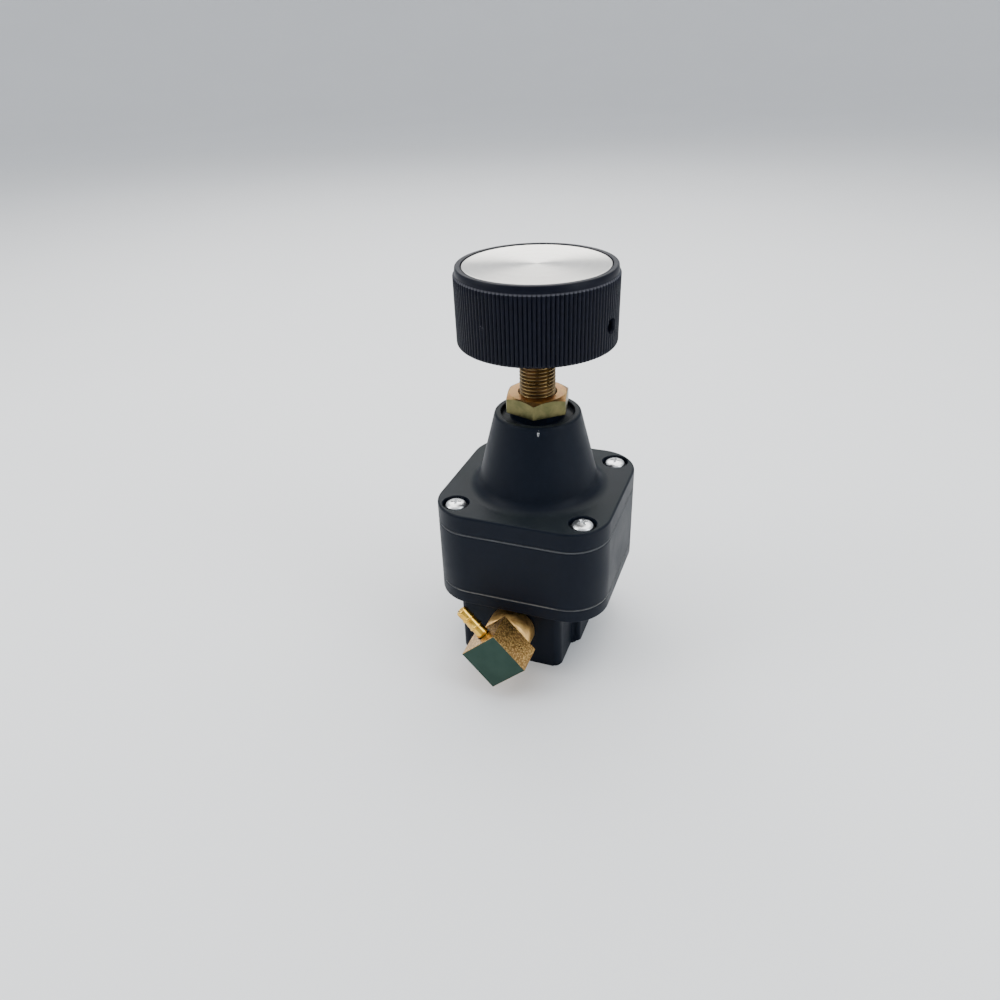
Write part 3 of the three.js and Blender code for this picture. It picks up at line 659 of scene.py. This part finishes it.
def panel_nut():
    """Hexagon with a chamfered top, rounded corners and a countersunk thread mouth."""
    across, first_corner = mm(16.0), math.radians(-78.6)
    corner = across / math.sqrt(3)
    corner_width, corner_trim, side_trim = 0.018, 0.997992, 0.999

    def hexagon(inset):
        points = []
        reach = corner - inset / math.cos(math.pi / 6)
        for i in range(6):
            for turn, trim in ((-corner_width, side_trim), (0.0, corner_trim), (corner_width, side_trim)):
                angle = first_corner + i * math.pi / 3 + turn
                points.append((reach * trim * math.cos(angle), reach * trim * math.sin(angle)))
        return points

    bm = bmesh.new()
    slab(bm, hexagon, NUT_BOTTOM, NUT_TOP, mm(0.12), mm(0.02), 2)
    nut = finish_mesh(bm, "hex_nut", NUT_EDGE)
    face, beyond = across / 2 - mm(0.3), mm(1)
    rise = (corner - face) * math.tan(math.radians(30))
    chamfer = [(0.0, NUT_BOTTOM - beyond), (corner + beyond, NUT_BOTTOM - beyond)]
    chamfer += [(corner + beyond, NUT_TOP - rise - mm(0.55)), (corner, NUT_TOP - rise)]
    chamfer += [(face + mm(0.15), NUT_TOP - mm(0.07)), (face - mm(0.1), NUT_TOP), (0.0, NUT_TOP)]
    boolean(nut, turned_tool(chamfer, 96), operation="INTERSECT")
    mouth = drawn(NUT_BOTTOM, [(0, -1), (5.0, -1)])
    mouth += drawn(NUT_TOP, [(5.0, -0.4), (5.45, 0.05), (5.45, 1), (0, 1)])
    boolean(nut, turned_tool(mouth))
    return sharpen(nut, NUT_EDGE)


# ------------------------------------------------------------------ bonnet and body
def body_outline(inset):
    return rounded_square(BODY_HALF, BODY_CORNER, inset)


def screw_places():
    half = SCREW_SPACING / 2
    return [(x, y) for x in (-half, half) for y in (-half, half)]


def chamber(bottom, top):
    """The round room that a diaphragm's plates move in."""
    return drill(CHAMBER_RADIUS, bottom, top, 96)


def spring_room():
    """The hollow under the bonnet that holds the range spring."""
    start, shoulder, ceiling = BONNET_BOTTOM - mm(1), BONNET_BOTTOM + mm(2.9), mm(66.0)
    profile = [(0.0, start), (CHAMBER_RADIUS, start), (CHAMBER_RADIUS, shoulder)]
    profile += [(mm(14.5), FLANGE_TOP), (mm(10.5), ceiling), (0.0, ceiling)]
    return turned_tool(profile, 96)


def tower_profile():
    """From inside the flange up the filleted cone, over its rolled rim and the nut's well to the boss."""
    fillet, foot_radius, rim_radius, rim_roll = mm(4.0), mm(17.7), mm(12.1), mm(0.9)
    well, boss, well_lip, well_depth = 10.2, 7.4, mm(0.3), mm(1.6)
    foot = foot_radius - (foot_radius - rim_radius) * fillet / (RIM_TOP - FLANGE_TOP)
    profile = [(0.0, FLANGE_TOP - mm(2.5)), (foot + fillet + mm(0.4), FLANGE_TOP - mm(0.4))]
    profile += arc(foot + fillet, FLANGE_TOP - mm(0.005) + fillet, fillet, 270, 184, 12)
    profile += arc(rim_radius - rim_roll, RIM_TOP - rim_roll, rim_roll, 8, 90, 6)
    profile += arc(mm(well) + well_lip, RIM_TOP - well_lip, well_lip, 90, 180, 3)
    profile += drawn(RIM_TOP - well_depth, [(well, 0.2), (well - 0.2, 0), (boss + 0.2, 0), (boss, 0.2)])
    return profile + drawn(NUT_BOTTOM, [(boss, -0.12), (boss - 0.12, 0), (0, 0)])


def bonnet():
    """Square flange with counterbored corners under a tapered tower with a rolled rim and a nut well."""
    tower = turned("bonnet_tower", tower_profile(), 160)
    neck_hole = drill(mm(5.25), FLANGE_TOP - mm(5), NUT_BOTTOM + mm(1))
    boolean(tower, neck_hole, spring_room())
    bm = bmesh.new()
    slab(bm, body_outline, BONNET_BOTTOM, FLANGE_TOP, mm(0.35), mm(0.7), 5)
    flange = finish_mesh(bm, "bonnet_flange")
    counterbore = drawn(FLANGE_TOP - COUNTERBORE_DEPTH, [(0, 0), (3.7, 0), (3.75, 0.1)])
    counterbore += drawn(FLANGE_TOP, [(3.75, -0.22), (3.95, 0.02), (3.95, 1), (0, 1)])
    wells = [turned_tool(counterbore, 48, Matrix.Translation((x, y, 0))) for x, y in screw_places()]
    boolean(flange, *wells, spring_room())
    return sharpen(tower, CAST_EDGE), sharpen(flange, CAST_EDGE)


def middle_body():
    """Spacer ring with the vent hole in its left face."""
    bottom, top = low("middle_body").z, high("middle_body").z
    bm = bmesh.new()
    slab(bm, body_outline, bottom, top, mm(0.3), mm(0.3), 4)
    obj = finish_mesh(bm, "spacer_body")
    leftward = Matrix.Translation((0, 0, (bottom + top) / 2)) @ Matrix.Rotation(-QUARTER, 4, "Y")
    vent = drawn(0.0, [(0, 15), (1.2, 15), (1.2, 24.7), (1.5, 25.02), (1.5, 27), (0, 27)])
    boolean(obj, turned_tool(vent, 32, leftward), chamber(bottom - mm(1), top + mm(1)))
    return sharpen(obj, CAST_EDGE)


# ------------------------------------------------------------------ base
NOTCH_WIDTH, NOTCH_DEPTH = mm(2.4), mm(13.0)
BASE_FLANGE_BOTTOM = mm(20.8)
RECESS_FLOOR = mm(19.5)


def port_block_outline(corner_steps=8):
    """The block's plan: a rectangle with a notch at two opposite corners, and every turn rounded."""
    x, y = BLOCK_HALF_WIDTH, BLOCK_HALF_DEPTH
    outer, step = BLOCK_CORNER, NOTCH_WIDTH / 2
    turns = [
        (-x, -y, outer), (x - NOTCH_WIDTH, -y, outer), (x - NOTCH_WIDTH, NOTCH_DEPTH - y, step),
        (x, NOTCH_DEPTH - y, step), (x, y, outer), (NOTCH_WIDTH - x, y, outer),
        (NOTCH_WIDTH - x, y - NOTCH_DEPTH, step), (-x, y - NOTCH_DEPTH, step),
    ]
    points = []
    for i, (cx, cy, radius) in enumerate(turns):
        corner = Vector((cx, cy))
        before = (Vector(turns[i - 1][:2]) - corner).normalized()
        after = (Vector(turns[(i + 1) % len(turns)][:2]) - corner).normalized()
        centre = corner + (before + after) * radius
        for k in range(corner_steps + 1):
            angle = QUARTER * k / corner_steps
            points.append(centre - after * radius * math.cos(angle) - before * radius * math.sin(angle))
    return [(p.x + PORT_X, p.y) for p in points]


def base():
    """Square flange over the port block, with both ports' bores and the plug's recess."""
    block_top = BASE_FLANGE_BOTTOM + mm(0.6)
    bm = bmesh.new()
    lower = closed_ends(bm, [[(x, y, z) for x, y in port_block_outline()] for z in (0.0, block_top)])
    bmesh.ops.bevel(bm, geom=list(lower.edges), offset=mm(0.5), segments=3, affect="EDGES", profile=0.5)
    block = finish_mesh(bm, "port_block")
    bore = drawn(0.0, [(0, 11), (5.05, 11), (5.05, 20.2), (5.75, 20.85), (5.75, 22), (0, 22)])
    plug = drawn(0.0, [(0, -1), (7.5, -1), (7.5, 0.02), (7.3, 0.25), (7.3, 5), (0, 5)])
    tools = [turned_tool(bore, 64, TOWARD_REAR), turned_tool(bore, 64, TOWARD_FRONT), turned_tool(plug)]
    boolean(block, *tools, chamber(RECESS_FLOOR, BASE_FLANGE_BOTTOM + mm(2)))
    bm = bmesh.new()
    slab(bm, body_outline, BASE_FLANGE_BOTTOM, high("base").z, mm(0.35), mm(0.3), 4)
    flange = finish_mesh(bm, "base_flange")
    boolean(flange, chamber(RECESS_FLOOR, high("base").z + mm(1)))
    return sharpen(block, BLOCK_EDGE), sharpen(flange, CAST_EDGE)


def port_thread():
    """V thread lining the rear port."""
    start, end, steps = mm(12.4), mm(20.1), 64
    rings = thread_wall(mm(4.55), mm(0.45), mm(0.94), start, end, steps, 8, inward=-1)
    back = [circle(mm(5.04), z, steps) for z in (end, start)]
    bm = bmesh.new()
    loft(bm, rings + back, closed_profile=True)
    obj = finish_mesh(bm, "port_thread", THREAD_EDGE)
    obj.data.transform(TOWARD_REAR)
    return obj


# ------------------------------------------------------------------ screws
RECESS_HALF_LENGTH, RECESS_HALF_WIDTH, RECESS_DEPTH = mm(1.65), mm(0.36), mm(1.1)
RECESS_FOOT_LENGTH, RECESS_FOOT_WIDTH = 0.42, 0.7
SCREW_TURNS = (20, 65, 38, 5)


def recess_arm(crown, turn):
    """One tapered arm of the cross recess, as a cutting tool."""
    x, y = RECESS_HALF_LENGTH, RECESS_HALF_WIDTH
    mouth = [(-x, -y), (x, -y), (x, y), (-x, y)]
    foot = [(px * RECESS_FOOT_LENGTH, py * RECESS_FOOT_WIDTH) for px, py in mouth]
    bm = bmesh.new()
    levels = ((foot, -RECESS_DEPTH), (mouth, mm(0.05)), (mouth, mm(0.5)))
    closed_ends(bm, [[(px, py, crown + z) for px, py in points] for points, z in levels])
    tool = finish_mesh(bm, "tool", MACHINED_EDGE)
    tool.data.transform(Matrix.Rotation(turn, 4, "Z"))
    return tool


def cover_screw(x, y, index):
    """Pan head with a cross recess, standing a little proud of its counterbore."""
    seat, crown = FLANGE_TOP - COUNTERBORE_DEPTH, high("cover_screw_1").z
    radius, shoulder, dome_steps, dome_fullness = mm(3.0), mm(0.75), 9, 0.8
    profile = [(0.0, seat), (radius - mm(0.1), seat), (radius, seat + mm(0.12)), (radius, seat + shoulder)]
    for k in range(1, dome_steps):
        angle = QUARTER * k / dome_steps
        reach = radius * math.cos(angle) ** dome_fullness
        profile.append((reach, seat + shoulder + (crown - seat - shoulder) * math.sin(angle)))
    profile.append((0.0, crown))
    head = turned(f"pan_head_{index}", profile, 56)
    boolean(head, recess_arm(crown, 0.0), recess_arm(crown, QUARTER))
    turn = Matrix.Rotation(math.radians(SCREW_TURNS[index - 1]), 4, "Z")
    head.data.transform(Matrix.Translation((x, y, 0)) @ turn)
    return sharpen(head, MACHINED_EDGE)


# ------------------------------------------------------------------ elbow fitting
ELBOW_TURN = math.radians(42.5)
COLLAR_LENGTH = mm(7.8)
BLOCK_HALF = mm(6.6)
BARB_DISTANCE = PORT_FACE - BARB_AXIS_Y
TO_FRONT = Matrix.Translation((PORT_X, PORT_FACE, PORT_Z)) @ Matrix.Rotation(QUARTER, 4, "X")


def along_barb():
    """From a piece drawn upright to the barb's direction, out of the block's side."""
    side = Matrix.Rotation(ELBOW_TURN + QUARTER, 4, "Z") @ Matrix.Rotation(QUARTER, 4, "Y")
    return Matrix.Translation((0, 0, BARB_DISTANCE)) @ side


def elbow_collar():
    """Round shoulder between the port and the block, chamfered at both ends."""
    stub, round_face, radius = 4.75, 5.9, 6.8
    profile = drawn(0.0, [(0, -3), (stub, -3), (stub, 0), (round_face, 0), (radius - 0.1, 0.82), (radius, 1.0)])
    profile += drawn(COLLAR_LENGTH, [(radius, -1.0), (radius - 0.1, -0.82), (round_face, -0.05), (0, 0.3)])
    obj = turned("elbow_collar", profile, 96, BLOCK_EDGE)
    obj.data.transform(TO_FRONT)
    return obj


def elbow_block(shaded_front_material, side_material):
    """Square block cut from bar: milled end face, dimpled sides, softly broken edges."""
    start, end = COLLAR_LENGTH, PORT_FACE - low("elbow_body").y
    width = 2 * BLOCK_HALF
    bm = bmesh.new()
    bmesh.ops.create_cube(bm, size=1.0)
    for v in bm.verts:
        v.co = Vector((v.co.x * width, v.co.y * width, start + (v.co.z + 0.5) * (end - start)))
    bmesh.ops.bevel(bm, geom=list(bm.edges), offset=mm(0.22), segments=3, affect="EDGES", profile=0.6)
    for face in bm.faces:
        face.normal_update()
        # The forward end face takes the painted-shade material, the other faces the dimpled brass.
        looks_forward = face.normal.z > 0.9
        face.material_index = 0 if looks_forward else 1
    obj = finish_mesh(bm, "elbow_block", MACHINED_EDGE)
    obj.data.transform(Matrix.Rotation(ELBOW_TURN, 4, "Z"))
    obj.data.materials.append(shaded_front_material)
    obj.data.materials.append(side_material)
    socket = drawn(0.0, [(0, 2.9), (1.85, 2.9)])
    socket += drawn(BLOCK_HALF, [(1.85, -0.2), (2.15, 0.05), (2.15, 2), (0, 2)])
    boolean(obj, turned_tool(socket, 48, along_barb()))
    obj.data.transform(TO_FRONT)
    return sharpen(obj, MACHINED_EDGE)


def elbow_barb():
    """Brass stem with a foot ring, two shallow ridges, a rolled tip and a bore."""
    bore, stem, ridge = 0.9, 1.55, 1.9
    tip = BLOCK_HALF + mm(9.7)
    profile = drawn(BLOCK_HALF, [(bore, -3.4), (stem, -3.4), (stem, 0.2), (ridge - 0.05, 0.4)])
    profile += drawn(BLOCK_HALF, [(ridge - 0.02, 0.9), (stem + 0.1, 2.6), (stem, 3.0)])
    for start in (mm(3.15), mm(6.25)):
        profile += drawn(BLOCK_HALF + start, [(ridge - 0.04, 0), (ridge, 0.1), (ridge, 0.35)])
        profile += drawn(BLOCK_HALF + start, [(ridge - 0.05, 0.45), (stem + 0.16, 0.62)])
        profile += drawn(BLOCK_HALF + start, [(stem + 0.2, 1.6), (stem + 0.05, 2.9)])
    profile = profile[:-1] + drawn(tip, [(stem + 0.2, -0.75)])
    profile += arc(mm(stem - 0.45), tip - mm(0.65), mm(0.65), 10, 90, 6)
    profile += drawn(tip, [(bore + 0.1, 0), (bore, -0.12)])
    obj = turned("hose_barb", profile, 56)
    obj.data.transform(TO_FRONT @ along_barb())
    return obj


# ------------------------------------------------------------------ soft pieces inside the body
RANGE_COIL = {"coil_radius": mm(7.6), "wire": mm(1.05), "turns": 5.5}
VALVE_COIL = {"coil_radius": mm(2.8), "wire": mm(0.4), "turns": 5.0}
PARTING_RADIUS, PARTING_GAP = mm(11.07), mm(0.03)


def coil_spring(name, node, coil_radius, wire, turns, steps_per_turn=28, sides=12):
    """A helix of round wire that stands where the CAD spring stands."""
    bottom, top = low(node).z + wire, high(node).z - wire
    climb = (top - bottom) / (2 * math.pi * turns)
    steps = round(turns * steps_per_turn)
    rings = []
    for i in range(steps + 1):
        angle = 2 * math.pi * turns * i / steps
        radial = Vector((math.cos(angle), math.sin(angle), 0.0))
        along = Vector((-coil_radius * math.sin(angle), coil_radius * math.cos(angle), climb)).normalized()
        upright = along.cross(radial)
        centre = radial * coil_radius + Vector((0.0, 0.0, bottom + climb * angle))
        turns_round = (2 * math.pi * k / sides for k in range(sides))
        rings.append([centre + (radial * math.cos(a) + upright * math.sin(a)) * wire for a in turns_round])
    bm = bmesh.new()
    closed_ends(bm, rings)
    return finish_mesh(bm, name)


def press(obj):
    """Gives a coil its own copy of its mesh."""
    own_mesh(obj)


def parted_diaphragm(node):
    """The CAD sheet parted just outside its plates: the middle moves with them, the roll stays clamped."""
    bottom, top = low(node).z - mm(1), high(node).z + mm(1)
    pieces = []
    for part, operation, side in (("centre", "INTERSECT", -1), ("edge", "DIFFERENCE", 1)):
        obj = bpy.data.objects.new(f"{node}_{part}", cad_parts[node].data.copy())
        bpy.context.scene.collection.objects.link(obj)
        boolean(obj, drill(PARTING_RADIUS + side * PARTING_GAP, bottom, top, 96), operation=operation)
        pieces.append(sharpen(obj, CAST_EDGE))
    return pieces


# ------------------------------------------------------------------ stage, light and camera
def stage():
    """A pale floor that curves up into a wall, and the pale world behind it."""
    flat, bend, wall_reach, wall_height = 1.6, 1.0, 2.2, 3.0
    profile = [(0.0, 0.0), (flat, 0.0)] + arc(flat, bend, bend, 280, 350, 8)
    profile.append((flat + wall_reach, wall_height))
    floor = turned("floor", profile, 96, SPUN_EDGE)
    n = Nodes("floor_paper")
    n.set(n.mix(n.noise(6.0), (0.78, 0.79, 0.8), (0.82, 0.83, 0.84)), 0.75)
    floor.data.materials.append(n.material)
    world = bpy.data.worlds.new("studio")
    world.use_nodes = True
    background = world.node_tree.nodes["Background"]
    background.inputs["Color"].default_value = (0.92, 0.95, 1.0, 1.0)
    background.inputs["Strength"].default_value = 0.95
    bpy.context.scene.world = world


def softbox(name, place, size, power, colour=(1.0, 1.0, 1.0)):
    """A rectangular area light that faces the middle of the valve."""
    aim = Vector((0.0, 0.0, 0.05))
    light = bpy.data.lights.new(name, "AREA")
    light.shape = "RECTANGLE"
    light.size, light.size_y = size
    light.energy = power
    light.color = colour
    obj = bpy.data.objects.new(name, light)
    obj.location = place
    obj.rotation_euler = (aim - Vector(place)).to_track_quat("-Z", "Y").to_euler()
    bpy.context.scene.collection.objects.link(obj)


def lights():
    """Position, size, power and tint of each softbox."""
    warm, cool = (1.0, 0.985, 0.96), (0.9, 0.96, 1.0)
    softbox("overhead", (-0.03, 0.2, 0.62), (0.9, 0.7), 6.0, (1.0, 0.99, 0.96))
    softbox("key_left", (-0.45, -0.25, 0.4), (0.3, 0.4), 1.6)
    softbox("fill_right", (0.45, -0.1, 0.3), (0.25, 0.4), 1.2, cool)
    softbox("back_wall", (-0.28, 0.62, 0.55), (0.7, 0.35), 2.2, warm)


def camera():
    """The photograph's view: place, direction, roll and lens as fitted to its edges."""
    place, forward = Vector((0.06516, -0.1979, 0.16794)), Vector((-0.3128, 0.8004, -0.5115)).normalized()
    roll, focal_pixels, image_width, sensor = 0.0368, 823.9, 1000.0, 36.0
    data = bpy.data.cameras.new("camera")
    data.sensor_width = sensor
    data.lens = focal_pixels * sensor / image_width
    data.clip_start, data.clip_end = 0.005, 20.0
    obj = bpy.data.objects.new("camera", data)
    level = forward.cross(Vector((0, 0, 1))).normalized()
    upright = level.cross(forward)
    right = level * math.cos(roll) - upright * math.sin(roll)
    up = level * math.sin(roll) + upright * math.cos(roll)
    turn = Matrix((right, up, -forward)).transposed()
    obj.matrix_world = Matrix.Translation(place) @ turn.to_4x4()
    bpy.context.scene.collection.objects.link(obj)
    bpy.context.scene.camera = obj


# ------------------------------------------------------------------ assembly
def carried_over(finishes):
    """CAD nodes whose shape is right keep it and get their finish here."""
    for material, names in finishes.items():
        for name in names:
            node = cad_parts[name]
            node.data.materials.clear()
            node.data.materials.append(material)


camera()
stage()
lights()

# Each metal's dark and light tone and its lowest and highest roughness.
ground_steel = metal("ground_steel", (0.45, 0.45, 0.46), (0.62, 0.62, 0.62), 0.25, 0.42)
plated_steel = metal("plated_steel", (0.58, 0.59, 0.6), (0.75, 0.75, 0.76), 0.22, 0.4)
plain_aluminium = metal("plain_aluminium", (0.66, 0.67, 0.68), (0.82, 0.82, 0.83), 0.28, 0.45)
seat_brass = metal("seat_brass", (0.6, 0.47, 0.22), (0.78, 0.64, 0.34), 0.2, 0.35)
black_steel = metal("black_steel", (0.03, 0.03, 0.035), (0.07, 0.07, 0.075), 0.35, 0.5)
bare_casting = metal("bare_casting", (0.09, 0.09, 0.095), (0.17, 0.17, 0.18), 0.4, 0.55)
spring_wire = metal("spring_wire", (0.3, 0.31, 0.33), (0.5, 0.5, 0.52), 0.3, 0.45, scale=400.0)
bright_zinc = metal("bright_zinc", (0.72, 0.73, 0.73), (0.9, 0.9, 0.9), 0.24, 0.38, scale=500.0, grain=0.08)
collar_brass = metal("collar_brass", (0.7, 0.4, 0.13), (0.92, 0.6, 0.22), 0.34, 0.5,
                     scale=380.0, grain=0.16, fine=1500.0, grime=(0.45, 0.21, 0.06))
barb_metal = metal("barb_metal", (0.66, 0.37, 0.045), (0.9, 0.57, 0.1), 0.12, 0.24,
                   scale=500.0, grain=0.1, fine=1800.0, grime=(0.34, 0.16, 0.03))
seal_rubber = rubber("seal_rubber", (0.02, 0.02, 0.022))
casting = painted_casting()
carried_over({
    ground_steel: ("valve_poppet", "adjusting_screw", "inlet_screen"),
    plated_steel: ("spring_button",),
    plain_aluminium: ("bottom_plug", "lower_plate", "upper_plate", "relief_spool"),
    seat_brass: ("seat_ring",),
    seal_rubber: ("plug_o_ring",),
    black_steel: ("knob_set_screw",),
})

range_coil = coil_spring("range_coil", "range_spring", **RANGE_COIL)
place(range_coil, "diaphragm_stack", "range_spring", "spring_steel", spring_wire)
press(range_coil)
valve_coil = coil_spring("valve_coil", "valve_spring", **VALVE_COIL)
place(valve_coil, "housing", "valve_spring", "spring_steel", spring_wire)
press(valve_coil)

black_rubber = (0.018, 0.02, 0.024)
# Height and tone of the painted highlight along each diaphragm's edge at the seams.
upper_seam_highlight = (BONNET_BOTTOM - mm(0.12), (0.05, 0.055, 0.06))
lower_seam_highlight = (high("base").z + mm(0.3), (0.11, 0.11, 0.1))
sheets = {
    "upper_diaphragm": rubber("upper_diaphragm_rubber", black_rubber, upper_seam_highlight),
    "lower_diaphragm": rubber("lower_diaphragm_rubber", black_rubber, lower_seam_highlight),
}
for sheet_node, sheet_rubber in sheets.items():
    centre_piece, edge_piece = parted_diaphragm(sheet_node)
    place(centre_piece, "diaphragm_stack", sheet_node, "diaphragm_rubber", sheet_rubber)
    place(edge_piece, "housing", sheet_node, "diaphragm_rubber", sheet_rubber)

place(knob(), "knob_set", "knob", "knob_plastic", knob_plastic())
place(inlay(), "knob_set", "knob_inlay", "spun_aluminium", spun_aluminium())
place(bushing(), "housing", "bushing", "neck_brass", neck_brass())
place(panel_nut(), "housing", "panel_nut", "nut_yellow", nut_metal())
tower_piece, flange_piece = bonnet()
place(tower_piece, "housing", "bonnet", "casting", casting)
place(flange_piece, "housing", "bonnet", "casting", casting)
place(middle_body(), "housing", "middle_body", "casting", casting)
block_piece, base_flange_piece = base()
place(block_piece, "housing", "base", "casting", casting)
place(base_flange_piece, "housing", "base", "casting", casting)
place(port_thread(), "housing", None, "casting", bare_casting)
for screw_index, (screw_x, screw_y) in enumerate(screw_places(), 1):
    screw_piece = cover_screw(screw_x, screw_y, screw_index)
    place(screw_piece, "housing", f"cover_screw_{screw_index}", "zinc", bright_zinc)
place(elbow_collar(), "housing", "elbow_body", "fitting_brass", collar_brass)
place(elbow_block(milled_brass(), dimpled_brass()), "housing", "elbow_body", "fitting_brass")
place(elbow_barb(), "housing", "elbow_barb", "barb_brass", barb_metal)
